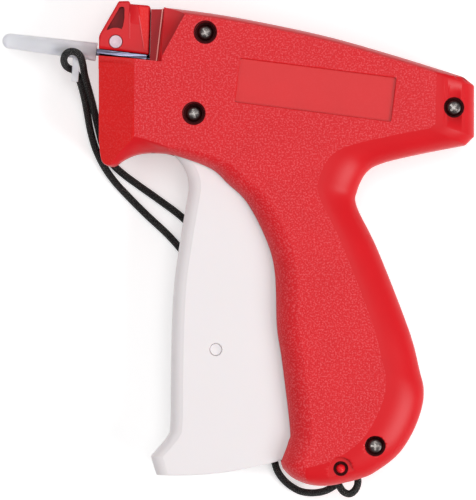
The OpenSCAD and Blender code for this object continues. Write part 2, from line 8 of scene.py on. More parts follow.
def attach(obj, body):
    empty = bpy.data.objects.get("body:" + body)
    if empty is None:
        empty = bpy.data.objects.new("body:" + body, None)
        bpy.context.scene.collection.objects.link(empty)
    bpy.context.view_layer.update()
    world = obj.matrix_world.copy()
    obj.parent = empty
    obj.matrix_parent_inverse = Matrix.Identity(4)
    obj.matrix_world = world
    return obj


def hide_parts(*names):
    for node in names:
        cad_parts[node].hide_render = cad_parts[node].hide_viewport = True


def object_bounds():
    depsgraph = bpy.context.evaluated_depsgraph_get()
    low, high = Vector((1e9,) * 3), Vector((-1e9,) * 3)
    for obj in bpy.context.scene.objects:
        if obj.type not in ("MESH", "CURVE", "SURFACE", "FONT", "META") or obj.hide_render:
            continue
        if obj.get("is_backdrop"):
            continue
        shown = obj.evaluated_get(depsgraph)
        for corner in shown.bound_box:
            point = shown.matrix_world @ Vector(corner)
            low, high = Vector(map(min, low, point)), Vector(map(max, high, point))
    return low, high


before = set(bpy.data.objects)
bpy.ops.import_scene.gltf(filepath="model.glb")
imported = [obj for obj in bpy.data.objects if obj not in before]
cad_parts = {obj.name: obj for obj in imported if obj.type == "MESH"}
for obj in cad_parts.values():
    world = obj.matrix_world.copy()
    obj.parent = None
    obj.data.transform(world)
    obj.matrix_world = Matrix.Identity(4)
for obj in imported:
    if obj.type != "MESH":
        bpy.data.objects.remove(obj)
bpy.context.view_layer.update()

# ---------------------------------------------------------------- camera, floor and lamps
# The tool lies on its right side on a white table and is seen from straight above through
# a long lens. A pixel of the 476 by 500 frame is 0.30 mm at the height of the near face.
mm = 0.001
view_height = 0.150
view_centre = (0.0, -0.00195, 0.021)
lens = 400.0
film = 36.0
table_lift = 0.42
sky_strength = 0.36

camera = bpy.data.objects.new("camera", bpy.data.cameras.new("camera"))
bpy.context.collection.objects.link(camera)
camera.data.type = "PERSP"
camera.data.lens = lens
camera.data.sensor_fit = "VERTICAL"
camera.data.sensor_height = film
camera.data.clip_end = 50.0
camera.location = Vector(view_centre) + Vector((0, 0, view_height * lens / film))
bpy.context.scene.camera = camera
bpy.context.scene.view_settings.view_transform = "Standard"


def material(name, colour, roughness, **sockets):
    """A new material with one Principled shader, and what builds its pattern."""
    made = bpy.data.materials.new(name)
    made.use_nodes = True
    shader = made.node_tree.nodes["Principled BSDF"]
    shader.inputs["Base Color"].default_value = (*colour, 1)
    shader.inputs["Roughness"].default_value = roughness
    for socket, value in sockets.items():
        shader.inputs[socket.replace("_", " ")].default_value = value
    return made, made.node_tree, shader


def node(tree, kind, inputs=None, **settings):
    """A new node: inputs are values or the sockets that feed them."""
    made = tree.nodes.new("ShaderNode" + kind)
    for setting, value in settings.items():
        setattr(made, setting, value)
    for place, value in (inputs or {}).items():
        if isinstance(value, bpy.types.NodeSocket):
            tree.links.new(value, made.inputs[place])
        else:
            made.inputs[place].default_value = value
    return made


def tinted(tree, shader, share, low, high):
    """Gives the shader a colour between low and high, by share."""
    tone = node(tree, "MixRGB", {"Fac": share, 1: (*low, 1), 2: (*high, 1)})
    tree.links.new(tone.outputs["Color"], shader.inputs["Base Color"])


floor_size = 6.0
floor_material, tree, shader = material("white_table", (0.86, 0.86, 0.86), 0.6)
speckle = node(tree, "TexNoise", {"Scale": 60.0, "Detail": 4.0})
tinted(tree, shader, speckle.outputs["Fac"], (0.855, 0.855, 0.858), (0.865, 0.865, 0.862))
# What the camera, gloss and clear plastic see of the table is lifted to white.
ray = node(tree, "LightPath")
seen = node(tree, "Math", {0: ray.outputs["Is Camera Ray"], 1: ray.outputs["Is Glossy Ray"]})
seen_too = node(tree, "Math", {0: seen.outputs[0], 1: ray.outputs["Is Transmission Ray"]})
lift = node(tree, "Math", {0: seen_too.outputs[0], 1: table_lift}, operation="MULTIPLY")
tree.links.new(lift.outputs[0], shader.inputs["Emission Strength"])
shader.inputs["Emission Color"].default_value = (1, 1, 1, 1)
bm = bmesh.new()
bmesh.ops.create_grid(bm, x_segments=1, y_segments=1, size=floor_size / 2)
floor_mesh = bpy.data.meshes.new("floor")
bm.to_mesh(floor_mesh)
bm.free()
floor_mesh.materials.append(floor_material)
floor = bpy.data.objects.new("floor", floor_mesh)
bpy.context.collection.objects.link(floor)
floor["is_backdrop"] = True

world = bpy.data.worlds.new("studio")
world.use_nodes = True
world.node_tree.nodes["Background"].inputs["Color"].default_value = (1, 1, 1, 1)
world.node_tree.nodes["Background"].inputs["Strength"].default_value = sky_strength
bpy.context.scene.world = world


def lamp(name, place, size, power, aim=(0, 0, 0.014)):
    """A square soft box that faces the tool."""
    light = bpy.data.lights.new(name, "AREA")
    light.size = size
    light.energy = power
    box = bpy.data.objects.new(name, light)
    bpy.context.collection.objects.link(box)
    box.location = place
    box.rotation_euler = (Vector(aim) - Vector(place)).to_track_quat("-Z", "Y").to_euler()


lamp("key_box", (0.95, -0.45, 0.85), 0.6, 9.6)
lamp("top_box", (0.1, 0.25, 1.4), 0.6, 4.8)
lamp("side_box", (-0.9, 0.5, 0.7), 0.4, 1.8)


# ---------------------------------------------------------------- strap
# A black braided polyester cord, 2.2 mm thick. It leaves the slot in the handle's foot,
# crosses the table under the nose, goes round the tab of the needle cap and comes back
# beside itself to a knot. A short bight of the same cord is caught by the strap pin.
cord_thickness = 2.2 * mm
knot_thickness = 1.9
braid_strands = 8.0
braid_lead = 2.4
rest = 1.2
strap_route = [
    (31.6, -69.2, 12.4), (30.4, -71.6, 11.6), (28.6, -73.5, 10.2), (25.6, -75, 7.6),
    (22, -75.5, 4.9), (18.4, -74.9, 2.6), (14.8, -72.6, 1.5), (12.2, -69.4, rest),
    (11, -65.5, rest), (10.4, -60, rest), (9, -52, rest), (6.8, -44, rest), (3.6, -36, rest),
    (-0.6, -28, rest), (-5.4, -20, rest), (-10.4, -12, rest), (-15.6, -4, rest),
    (-21, 2.4, rest), (-27.4, 8.4, rest), (-33.2, 14.2, rest), (-37.6, 19, rest),
    (-41, 24, rest), (-43.3, 29, 1.4), (-44.7, 34, 2), (-45.6, 39, 3.4), (-46.4, 43.6, 5.6),
    (-47.3, 47.4, 8.4), (-48.3, 50.4, 10.6), (-49.6, 52.2, 11.6), (-51.1, 52.9, 12.5),
    (-52.1, 53.9, 14.2), (-52.4, 55.3, 16.5), (-51.9, 56.7, 18), (-50.9, 57.5, 18.5),
    (-49.7, 57.7, 18.6), (-48.4, 57.3, 18.4), (-47.4, 56.3, 17.9), (-46.9, 54.9, 16.6),
    (-46.6, 53.2, 14.4), (-46.3, 51, 12), (-45.6, 48.2, 9.4), (-44.7, 44.8, 6.6),
    (-43.6, 40.2, 4), (-42.4, 35, 2.2), (-41, 29.6, 1.4), (-38.8, 25, rest),
    (-35.2, 21.4, rest), (-29.8, 17.4, rest), (-23.6, 13, rest), (-17, 8, rest),
    (-11.4, 2, rest), (-6.6, -5.4, rest), (-2.6, -13, rest), (0.2, -20, rest),
    (1.7, -25.2, rest),
]
bight_route = [
    (31.6, -61.6, 15), (33.4, -63.9, 15), (34.9, -66.6, 15), (35.8, -69.4, 15),
    (36.1, -72, 14.8), (35.3, -74.2, 14.4), (33.6, -75.4, 14.2), (31.7, -74.7, 14.2),
    (30.4, -72.8, 14.4), (29.2, -70.6, 14.6), (28, -68, 14.6), (27.9, -65.2, 14.6),
    (28.4, -62.2, 14.6),
]
knot_place = (1.4, -29.4, 2.5)


def curve_through(points, steps):
    """Points along a smooth curve through the given ones, steps to a span."""
    ends = [Vector(p) for p in points]
    last = len(ends) - 1
    fine = []
    for i in range(last):
        a, b, c, d = (ends[min(max(i + k, 0), last)] for k in (-1, 0, 1, 2))
        for k in range(steps):
            t = k / steps
            fine.append(0.5 * (2 * b + (c - a) * t + (2 * a - 5 * b + 4 * c - d) * t * t
                               + (3 * b - a - 3 * c + d) * t ** 3))
    return fine + [ends[-1]]


def shown(name, bm, *materials, scale=mm):
    """Puts a finished bmesh, drawn in millimetres, into the scene as an object in metres,
    or in millimetres with scale=1.0, where it is still to be cut."""
    bmesh.ops.scale(bm, vec=(scale,) * 3, verts=bm.verts)
    mesh = bpy.data.meshes.new(name)
    bm.to_mesh(mesh)
    bm.free()
    for each in materials:
        mesh.materials.append(each)
    made = bpy.data.objects.new(name, mesh)
    bpy.context.collection.objects.link(made)
    return made


def pulled(bm, tip):
    """Extrudes the end face tip of a closed solid, and returns the new end face."""
    inside = any(len(e.link_faces) > 1 for e in tip.edges)
    made = bmesh.ops.extrude_face_region(bm, geom=[tip])["geom"]
    if inside:
        bmesh.ops.delete(bm, geom=[tip], context="FACES_ONLY")
    return next(g for g in made if isinstance(g, bmesh.types.BMFace))


def cord_tube(name, route, thickness, finish, sides=20, closed=False):
    """A round cord along route, and its length in metres. Its UV map has one turn across
    and lengths of one thickness along."""
    bm = bmesh.new()
    along = bm.verts.layers.float.new("along")
    around = bm.verts.layers.float.new("around")
    chart = bm.loops.layers.uv.new("braid")
    ring = bmesh.ops.create_circle(bm, segments=sides, radius=thickness / 2, cap_ends=True)
    for k, v in enumerate(ring["verts"]):
        v[around] = k / sides
    ways = [(route[min(i + 1, len(route) - 1)] - route[max(i - 1, 0)]).normalized()
            for i in range(len(route))]
    if closed:
        ways[0] = ways[-1] = (route[1] - route[-2]).normalized()
    turn = Vector((0, 0, 1)).rotation_difference(ways[0])
    place = Matrix.Translation(route[0]) @ turn.to_matrix().to_4x4()
    bmesh.ops.transform(bm, matrix=place, verts=ring["verts"])
    tip = list(bm.faces)[0]
    reach = 0.0
    for i in range(1, len(route)):
        tip = pulled(bm, tip)
        bend = ways[i - 1].rotation_difference(ways[i]).to_matrix().to_4x4()
        move = (Matrix.Translation(route[i]) @ bend @ Matrix.Translation(-route[i - 1]))
        bmesh.ops.transform(bm, matrix=move, verts=tip.verts)
        reach += (route[i] - route[i - 1]).length
        for v in tip.verts:
            v[along] = reach / thickness
    bmesh.ops.recalc_face_normals(bm, faces=bm.faces)
    for f in bm.faces:
        f.smooth = True
        wraps = max(v[around] for v in f.verts) > 0.9
        for loop in f.loops:
            u = loop.vert[around]
            loop[chart].uv = (1.0 if wraps and u < 0.1 else u, loop.vert[along])
    return shown(name, bm, finish), reach * mm


def bumped(tree, shader, strength, distance, height):
    """Gives the shader a relief by height, distance metres deep."""
    bump = node(tree, "Bump", {"Strength": strength, "Distance": distance, "Height": height})
    tree.links.new(bump.outputs["Normal"], shader.inputs["Normal"])


cord_black, tree, shader = material("black_braid", (0.011, 0.011, 0.012), 0.62,
                                    Specular_IOR_Level=0.3)
chart = node(tree, "UVMap", uv_map="braid")
split = node(tree, "SeparateXYZ", {0: chart.outputs["UV"]})
strands = node(tree, "Math", {0: split.outputs["X"], 1: braid_strands}, operation="MULTIPLY")
lead = node(tree, "Math", {0: split.outputs["Y"], 1: braid_lead}, operation="MULTIPLY")
left_lay = node(tree, "Math", {0: strands.outputs[0], 1: lead.outputs[0]})
right_lay = node(tree, "Math", {0: strands.outputs[0], 1: lead.outputs[0]},
                 operation="SUBTRACT")


def strand_height(lay):
    """A round strand's height across its own width, from 0 at its edges to 1."""
    place = node(tree, "Math", {0: lay.outputs[0]}, operation="FRACT")
    swing = node(tree, "Math", {0: place.outputs[0], 1: math.pi}, operation="MULTIPLY")
    return node(tree, "Math", {0: swing.outputs[0]}, operation="SINE")


left_cell = node(tree, "Math", {0: left_lay.outputs[0]}, operation="FLOOR")
right_cell = node(tree, "Math", {0: right_lay.outputs[0]}, operation="FLOOR")
cells = node(tree, "Math", {0: left_cell.outputs[0], 1: right_cell.outputs[0]})
over = node(tree, "Math", {0: cells.outputs[0], 1: 2.0}, operation="FLOORED_MODULO")
weave = node(tree, "Mix", {0: over.outputs[0], 2: strand_height(left_lay).outputs[0],
                           3: strand_height(right_lay).outputs[0]})
fibre = node(tree, "TexNoise", {"Scale": 9000.0, "Detail": 2.0})
height = node(tree, "Math", {0: fibre.outputs["Fac"], 1: 0.25, 2: weave.outputs[0]},
              operation="MULTIPLY_ADD")
bumped(tree, shader, 0.9, 0.00022, height.outputs[0])
# The braid's colour is painted shade: near black in the grooves between the strands and
# lighter on their crowns, varied at random by the lint noise.
lint = node(tree, "TexNoise", {"Scale": 2600.0, "Detail": 1.0})
groove_shade_and_lint = node(tree, "Math", {0: lint.outputs["Fac"], 1: weave.outputs[0]},
            operation="MULTIPLY")
shade = node(tree, "ValToRGB", {"Fac": groove_shade_and_lint.outputs[0]})
shade.color_ramp.elements[0].position = 0.30
shade.color_ramp.elements[0].color = (0.003, 0.003, 0.0035, 1)
shade.color_ramp.elements[1].position = 0.80
shade.color_ramp.elements[1].color = (0.045, 0.045, 0.048, 1)
flecks = node(tree, "TexNoise", {"Scale": 3300.0, "Detail": 1.0})
catch = node(tree, "MapRange", {"Value": flecks.outputs["Fac"], "From Min": 0.66,
                                "From Max": 0.70})
speckled = node(tree, "MixRGB", {"Fac": catch.outputs["Result"], 1: shade.outputs["Color"],
                                 2: (0.42, 0.42, 0.38, 1)})
tree.links.new(speckled.outputs["Color"], shader.inputs["Base Color"])

strap_line = curve_through(strap_route, 4)
strap, strap_length = cord_tube("strap", strap_line, cord_thickness / mm, cord_black)
bight_line = curve_through(bight_route, 5)
bight, bight_length = cord_tube("strap_bight_loop", bight_line, cord_thickness / mm,
                                cord_black)

# The knot is an overhand knot drawn tight, a cord wound three times through itself.
knot_turns = 48
knot_size = 0.62
knot_depth = 0.75
knot_line = []
for k in range(knot_turns + 1):
    a = 2 * math.pi * k / knot_turns
    knot_line.append(Vector(knot_place) + Vector((
        knot_size * (math.sin(a) + 2 * math.sin(2 * a)),
        knot_size * (math.cos(a) - 2 * math.cos(2 * a)), -knot_depth * math.sin(3 * a))))
knot = cord_tube("knot", knot_line, knot_thickness, cord_black, closed=True)[0]

for piece, stands_for in ((strap, "strap_cord"), (bight, "strap_bight"), (knot, "strap_knot")):
    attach(piece, "housing")
    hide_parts(stands_for)


# ---------------------------------------------------------------- housing shells
# Two shells of red ABS, parted on the middle plane and drawn together by four screws. They
# are moulded with a sparked grain on their faces and along the handle's front, and with
# polished rounds elsewhere. Each has a smooth panel sunk into its face.
thick = 28.0
above = thick + 1
parting = thick / 2
hair = 0.02
near_face = thick - hair
seam = 0.2
draw_in = 0.13
skin_gap = 0.03
edge_round = 1.5
back_round = 9.0
back_rise = 0.35
front_round = 4.6
round_height = 6.0
top_edge = [(-22.5, 71), (-2.4, 68.25), (24.4, 62.8), (45.4, 57), (67, 50.3)]
back_edge = [
    (68.4, 29.4), (54, 26.6), (43.5, 24), (38.7, 21.2), (35.9, 15.7), (35.9, 10.9),
    (42.1, -1.95), (51.4, -25.8), (54.6, -37.8), (55.9, -44), (55.1, -50.2), (52.2, -57.4),
    (47.9, -63.6), (41.4, -68.6), (36.7, -70.7), (28, -72.7), (22, -72.6), (16.6, -70.6),
    (13.4, -67.6), (12.6, -65.5),
]
front_edge = [
    (12.6, -65.5), (14.9, -59.3), (15.3, -55), (12.9, -35), (11.4, -24.8), (10.8, -8.9),
    (8.3, 0.9), (2.6, 12), (-3.1, 17.7), (-8.5, 22.4), (-19.2, 26.3), (-25, 27.1),
    (-29.9, 26.7), (-33.8, 25.2), (-36.8, 23.2), (-38.7, 23.1), (-40.5, 24), (-41.4, 26.2),
    (-41.9, 31),
]
side_outline = (
    [Vector((-42, 54.5)), Vector((-24.5, 54.5))] + curve_through(top_edge, 12)
    + [Vector((69.6, 49.3)), Vector((71, 47.2)), Vector((71, 32))]
    + curve_through(back_edge, 12)[:-1] + curve_through(front_edge, 12)
)
screw_places = [(-9.75, 63.15), (-13.2, 38.9), (64.6, 40.7), (41.04, -60.6)]
recess_radius = 3.1
recess_floor = thick - 4.22
recess_rim = 0.45
panel_place = (23.2, 45.9)
panel_size = (46.9, 13.1)
panel_corner = 0.7
panel_floor = thick - 0.82
head_tilt = math.radians(7.2)
nose_start, nose_front, nose_drop = -31.0, -44.0, 7.75
strap_pin_place = (30.75, -67.35)
pocket_radius = 3.5
pocket_depth = 1.9
pin_hole_radius = 2.2
pin_hole_floor = 24.2
rod_way = 1.6
quarter = [math.pi / 2 * k / 8 for k in range(9)]


def red_plastic(name, colour, roughness, grain, specks, gloss=0.34):
    """Red ABS: grain is the depth of its sparked texture in metres, and specks the share of it
    given painted glints, highlights painted into its colour where the grain catches the light."""
    made, tree, shader = material(name, colour, roughness, Specular_IOR_Level=gloss)
    where = node(tree, "TexCoord").outputs["Object"]
    patches = node(tree, "TexNoise", {"Vector": where, "Scale": 95.0, "Detail": 3.0})
    cells = node(tree, "TexVoronoi", {"Vector": where, "Scale": 1500.0}, feature="F1")
    fine = node(tree, "TexNoise", {"Vector": where, "Scale": 2400.0, "Detail": 3.0})
    pebble = node(tree, "Math", {0: cells.outputs["Distance"], 1: 0.8,
                                 2: fine.outputs["Fac"]}, operation="MULTIPLY_ADD")
    bumped(tree, shader, 1.0, grain, pebble.outputs[0])
    dots = node(tree, "TexNoise", {"Vector": where, "Scale": 2000.0, "Detail": 1.0,
                                   "Roughness": 0.4})
    # Painted highlight: pink specks where the grain would catch the light.
    glint = node(tree, "MapRange", {"Value": dots.outputs["Fac"], "From Min": 0.50,
                                    "From Max": 0.66, "To Max": specks})
    tone = node(tree, "MixRGB", {"Fac": patches.outputs["Fac"],
                                 1: (*[c * 0.93 for c in colour], 1),
                                 2: (*[min(c * 1.05, 1) for c in colour], 1)})
    lit = node(tree, "MixRGB", {"Fac": glint.outputs["Result"],
                                1: tone.outputs["Color"], 2: (0.95, 0.17, 0.19, 1)})
    tree.links.new(lit.outputs["Color"], shader.inputs["Base Color"])
    return made


grained_red = red_plastic("grained_red", (0.750, 0.008, 0.015), 0.46, 0.00012, 0.36)
polished_red = red_plastic("polished_red", (0.700, 0.006, 0.012), 0.38, 0.000004, 0.0, 0.26)
facet_red = red_plastic("facet_red", (0.860, 0.004, 0.004), 0.42, 0.00005, 0.12)
panel_red = red_plastic("panel_red", (0.725, 0.003, 0.007), 0.36, 0.00001, 0.02)
# The screw holes and the strap pin's hole are a near-black red, painted shade.
recess_painted_shade_red = red_plastic("recess_painted_shade_red", (0.085, 0.002, 0.004), 0.50, 0.00001, 0.0, 0.12)
# Faces inside the housing and in its cuts are a darker red, painted shade.
inner_shaded_red = red_plastic("inner_shaded_red", (0.420, 0.014, 0.022), 0.45, 0.00001, 0.0)
# The head's front wall is a dark red, painted shade in the slot.
wall_painted_shade_red = red_plastic("wall_painted_shade_red", (0.420, 0.006, 0.012), 0.40, 0.00001, 0.0, 0.2)
# The wall's rim is a light red, a painted highlight along its edge.
rim_painted_highlight_red = red_plastic("rim_painted_highlight_red", (0.950, 0.330, 0.290), 0.30, 0.00001, 0.0)
shell_finishes = (grained_red, polished_red)
GRAINED, POLISHED = range(2)

# The ramp's colour is painted shade: darkest along its crest and lighter towards the head's
# front edge.
ramp_painted_shade_red, tree, shader = material("ramp_painted_shade_red", (0.800, 0.008, 0.014), 0.34,
                                  Specular_IOR_Level=0.3)
where = node(tree, "TexCoord").outputs["Object"]
aside = node(tree, "VectorMath", {0: where, 1: (-879.0, 478.0, 0.0)},
             operation="DOT_PRODUCT")
aside = node(tree, "Math", {0: aside.outputs["Value"], 1: 46.7}, operation="SUBTRACT")
aside = node(tree, "MapRange", {"Value": aside.outputs[0], "From Max": 7.0})
tone = node(tree, "ValToRGB", {"Fac": aside.outputs["Result"]})
tone.color_ramp.elements[0].color = (0.400, 0.002, 0.006, 1)
tone.color_ramp.elements[1].color = (0.860, 0.012, 0.022, 1)
tone.color_ramp.elements.new(0.3).color = (0.640, 0.005, 0.010, 1)
tree.links.new(tone.outputs["Color"], shader.inputs["Base Color"])


def raised(bm, tip, places):
    """Extrudes the face tip so that its corners land on places, and returns the new one."""
    tip = pulled(bm, tip)
    for v, place in zip(tip.verts, places):
        v.co = place
    return tip


def outwards(points):
    """The outline's normals, which point out of the plastic, clockwise round it."""
    count = len(points)
    found = []
    for i in range(count):
        way = (points[(i + 1) % count] - points[i - 1]).normalized()
        found.append(Vector((-way.y, way.x)))
    return found


def carve(obj, cutters, operation="DIFFERENCE"):
    """Cuts obj by each cutter in turn, keeps the cutter's finish on the cut, and takes the
    cutters away."""
    for cutter in cutters:
        cut = obj.modifiers.new("cut", "BOOLEAN")
        cut.operation = operation
        cut.solver = "MANIFOLD"
        cut.material_mode = "TRANSFER"
        cut.object = cutter
    bpy.context.view_layer.update()
    ready = obj.evaluated_get(bpy.context.evaluated_depsgraph_get())
    carved = bpy.data.meshes.new_from_object(ready)
    carved.name = obj.name
    obj.modifiers.clear()
    old = obj.data
    obj.data = carved
    bpy.data.meshes.remove(old)
    for cutter in cutters:
        mesh = cutter.data
        bpy.data.objects.remove(cutter)
        bpy.data.meshes.remove(mesh)
    return obj


def soften(obj, angle=20):
    """Smooth shading that keeps edges sharper than angle, and level faces flat."""
    obj.data.set_sharp_from_angle(angle=math.radians(angle))
    for f in obj.data.polygons:
        f.use_smooth = abs(f.normal.z) < 0.9995


def hull(name, places, finish):
    """The convex solid round places."""
    bm = bmesh.new()
    for place in places:
        bm.verts.new(place)
    bmesh.ops.convex_hull(bm, input=bm.verts)
    return shown(name, bm, finish, scale=1.0)


def cad_copy(name, finish):
    """A merged copy of a CAD node's mesh in millimetres, to be cut to shape."""
    bm = bmesh.new()
    bm.from_mesh(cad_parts[name].data)
    bmesh.ops.scale(bm, vec=(1 / mm,) * 3, verts=bm.verts)
    bmesh.ops.remove_doubles(bm, verts=bm.verts, dist=0.0005)
    return shown(name + "_copy", bm, finish, scale=1.0)


def lathed(profile, centre, finish, segments=64, name="turned"):
    """A solid of revolution about a line along Z: profile is radius and height pairs from
    the axis back to the axis."""
    bm = bmesh.new()
    verts = [bm.verts.new((r, 0, z)) for r, z in profile]
    edges = [bm.edges.new(pair) for pair in zip(verts, verts[1:])]
    bmesh.ops.spin(bm, geom=verts + edges, axis=(0, 0, 1), cent=(0, 0, 0),
                   angle=2 * math.pi, steps=segments, use_merge=True)
    bmesh.ops.remove_doubles(bm, verts=bm.verts, dist=0.0002)
    bmesh.ops.recalc_face_normals(bm, faces=bm.faces)
    bmesh.ops.translate(bm, vec=centre, verts=bm.verts)
    return shown(name, bm, finish, scale=1.0)


def to_metres(obj, name=None):
    """Scales a piece that is drawn in millimetres, once its cuts are made."""
    for v in obj.data.vertices:
        v.co *= mm
    if name:
        obj.name = obj.data.name = name
    return obj


def plate(outline, low, high, finish, flare=0.0):
    """A flat solid over outline from low to high, its top flared out by flare as the edge
    of a cut that is rounded over."""
    bm = bmesh.new()
    points = [Vector(p) for p in outline]
    if sum(a.x * b.y - b.x * a.y for a, b in zip(points, points[1:] + points[:1])) > 0:
        points.reverse()
    out = outwards(points)
    tip = bm.faces.new([bm.verts.new((p.x, p.y, low)) for p in points])
    steps = [(high, 0.0)]
    if flare:
        steps = [(near_face - flare * (1 - math.sin(a)), flare * (1 - math.cos(a)))
                 for a in quarter]
        steps.append((high, flare))
    for z, grow in steps:
        tip = raised(bm, tip, [(p.x + n.x * grow, p.y + n.y * grow, z)
                               for p, n in zip(points, out)])
    bmesh.ops.recalc_face_normals(bm, faces=bm.faces)
    bmesh.ops.triangulate(bm, faces=[f for f in bm.faces if len(f.verts) > 4])
    return shown("plate", bm, finish, scale=1.0)


def rounded_box(centre, size, turn, radius, steps=5):
    """The outline of a rectangle with round corners, turned about its centre."""
    half_l, half_h = size[0] / 2 - radius, size[1] / 2 - radius
    points = []
    for k, (sx, sy) in enumerate(((1, 1), (1, -1), (-1, -1), (-1, 1))):
        for j in range(steps + 1):
            a = math.pi / 2 * (1 - k - j / steps)
            points.append(Matrix.Rotation(turn, 2) @ Vector((
                sx * half_l + radius * math.cos(a), sy * half_h + radius * math.sin(a))))
    return [p + Vector(centre) for p in points]


def stack(name, outline, rings, finish):
    """A solid drawn up from one ring to the next. A ring is its height, how far the outline
    is drawn in, and how far it is shifted along X and Y. Where a corner is drawn in so far
    that an edge turns round, the edge's ends are brought together."""
    out = outwards(outline)
    count = len(outline)
    after = [(i + 1) % count for i in range(count)]
    stretch = []
    for i, n in enumerate(out):
        way = (outline[after[i]] - outline[i]).normalized()
        stretch.append(1 / max(0.6, Vector((-way.y, way.x)).dot(n)))
    bm = bmesh.new()
    tip = None
    for z, inward, across, up in rings:
        places = [Vector((p.x - n.x * m * inward + across, p.y - n.y * m * inward + up, z))
                  for p, n, m in zip(outline, out, stretch)]
        for _ in range(40):
            folded = [i for i, j in enumerate(after)
                      if (places[j] - places[i]).xy.dot(outline[j] - outline[i]) < 0]
            for i in folded:
                places[i] = places[after[i]] = places[i].lerp(places[after[i]], 0.5)
            if not folded:
                break
        if tip is None:
            tip = bm.faces.new([bm.verts.new(c) for c in places])
        else:
            tip = raised(bm, tip, places)
    bmesh.ops.recalc_face_normals(bm, faces=bm.faces)
    bmesh.ops.triangulate(bm, faces=[f for f in bm.faces if len(f.verts) > 4])
    return shown(name, bm, *finish, scale=1.0)


def shell_skin(name):
    """The smooth outside of the left shell as a solid, drawn in a little so that it lies
    within the CAD shell's stepped one. It is what three solids share: one with every edge
    rounded, and two that are shifted forward and back as they rise, which makes the wide
    rounds along the handle's back and front. The round is ahead of a quarter circle by one
    step of the CAD's."""
    start = near_face - round_height
    side_end = start - 1.5
    cad_step = 11.25
    face_share, faded = 1.03, 1.1
    loose = draw_in - skin_gap
    steps = [(90 - cad_step) * k / 12 for k in range(13)]
    heights = [start + round_height * math.sin(math.radians(a)) for a in steps]
    shares = [1 - math.cos(math.radians(a + cad_step)) for a in steps]
    edged = [(parting, draw_in + seam, 0, 0), (parting + seam, draw_in, 0, 0),
             (side_end, draw_in, 0, 0)]
    edged += [(z, draw_in + edge_round * k, 0, 0) for z, k in zip(heights, shares)]
    edged.append((near_face, draw_in + edge_round * face_share, 0, 0))
    stacks = [stack(name, side_outline, edged, shell_finishes)]
    whole_head = [Vector((-42, 78)), Vector((-24.5, 78))] + side_outline[2:]
    for label, outline, across, up in (
            ("_back", side_outline, -back_round, back_rise * back_round),
            ("_front", whole_head, front_round, 0)):
        rings = [(parting - 1, loose, 0, 0), (side_end, loose, 0, 0)]
        rings += [(z, loose + edge_round * k, across * k, up * k)
                  for z, k in list(zip(heights, shares)) + [(near_face, faded)]]
        rings.append((thick + 2, draw_in + edge_round * faded, across * faded, up * faded))
        stacks.append(stack(name + label, outline, rings, shell_finishes))
    skin, back, front = stacks
    for solid in stacks:
        for f in solid.data.polygons:
            f.material_index = (GRAINED if f.normal.z > 0.999 or solid is front
                                else POLISHED)
    carve(skin, [back, front], "INTERSECT")
    facet = [(x, y, z) for y in (10, 60)
             for x, z in ((nose_start, near_face), (nose_front, near_face - nose_drop),
                          (nose_front, thick + 3), (nose_start, thick + 3))]
    ramp = [(x, y, z - skin_gap) for x, y, z in (
        (-14, 72, thick), (-24, 53.6, thick), (-22.3, 72, 23.37), (-24.92, 53.6, thick),
        (-24.7, 72, 23.37), (-14, 72, 30), (-24, 53.6, 30), (-24.7, 72, 30),
        (-24.92, 53.6, 30))]
    pocket = [(strap_pin_place[0] + pocket_radius * math.cos(math.pi * k / 16),
               strap_pin_place[1] + pocket_radius * math.sin(math.pi * k / 16))
              for k in range(17)]
    pocket += [(27.0, -70.5), (26.9, -76), (37.3, -76), (37.0, -70)]
    pin_hole = [(0, pin_hole_floor), (pin_hole_radius, pin_hole_floor),
                (pin_hole_radius, above), (0, above)]
    return carve(skin, [
        hull("facet_cut", facet, facet_red), hull("ramp_cut", ramp, ramp_painted_shade_red),
        plate(rounded_box(panel_place, panel_size, -head_tilt, panel_corner), panel_floor,
              above, panel_red, flare=0.28),
        plate(pocket, thick - pocket_depth, above, polished_red, flare=0.3),
        # The strap pin's hole is in the near-black red of painted shade.
        lathed(pin_hole, (*strap_pin_place, 0), recess_painted_shade_red)])


def recess_cut(x, y):
    """The hole round a screw's head, its rim rounded over, in a near-black red that is painted
    shade.
    """
    wall = recess_radius - hair
    profile = [(0, recess_floor), (wall, recess_floor)]
    profile += [(wall + recess_rim * (1 - math.cos(a)),
                 near_face - recess_rim * (1 - math.sin(a))) for a in quarter]
    profile += [(recess_radius + recess_rim, above), (0, above)]
    return lathed(profile, (x, y, 0), recess_painted_shade_red)


# What is added at the head: a name, a finish, what is left open at the parting for the ejector
# rod, and corners with their depth below the face. The nose's top slopes under the block. The
# head's front wall is a dark red, painted shade in the slot beside the block, and its rim is a
# light red strip, a painted highlight along its edge.
head_forms = (
    ("nose_slope", facet_red, 0, ((-41.86, 52.4, 6.5), (-41.86, 56.4, 6.5),
                                  (nose_start, 55.3, 0.03), (nose_start, 52.4, 0.03))),
    ("nose_shelf", grained_red, 0, ((nose_start, 52.4, 0.03), (nose_start, 55.3, 0.03),
                                    (-24.4, 54.5, 0.03), (-22.6, 54.35, 0.03),
                                    (-22.6, 52.4, 0.03))),
    ("head_wall", wall_painted_shade_red, rod_way, ((-26.45, 54.2, 4.6), (-26.0, 70.2, 4.6),
                                      (-21.6, 70.2, 4.6), (-23.4, 54.2, 4.6))),
    ("head_rim", rim_painted_highlight_red, rod_way, ((-24.62, 54.6, 4.3), (-22.72, 70.4, 4.3),
                                    (-22.42, 70.4, 4.3), (-24.32, 54.6, 4.3))),
)
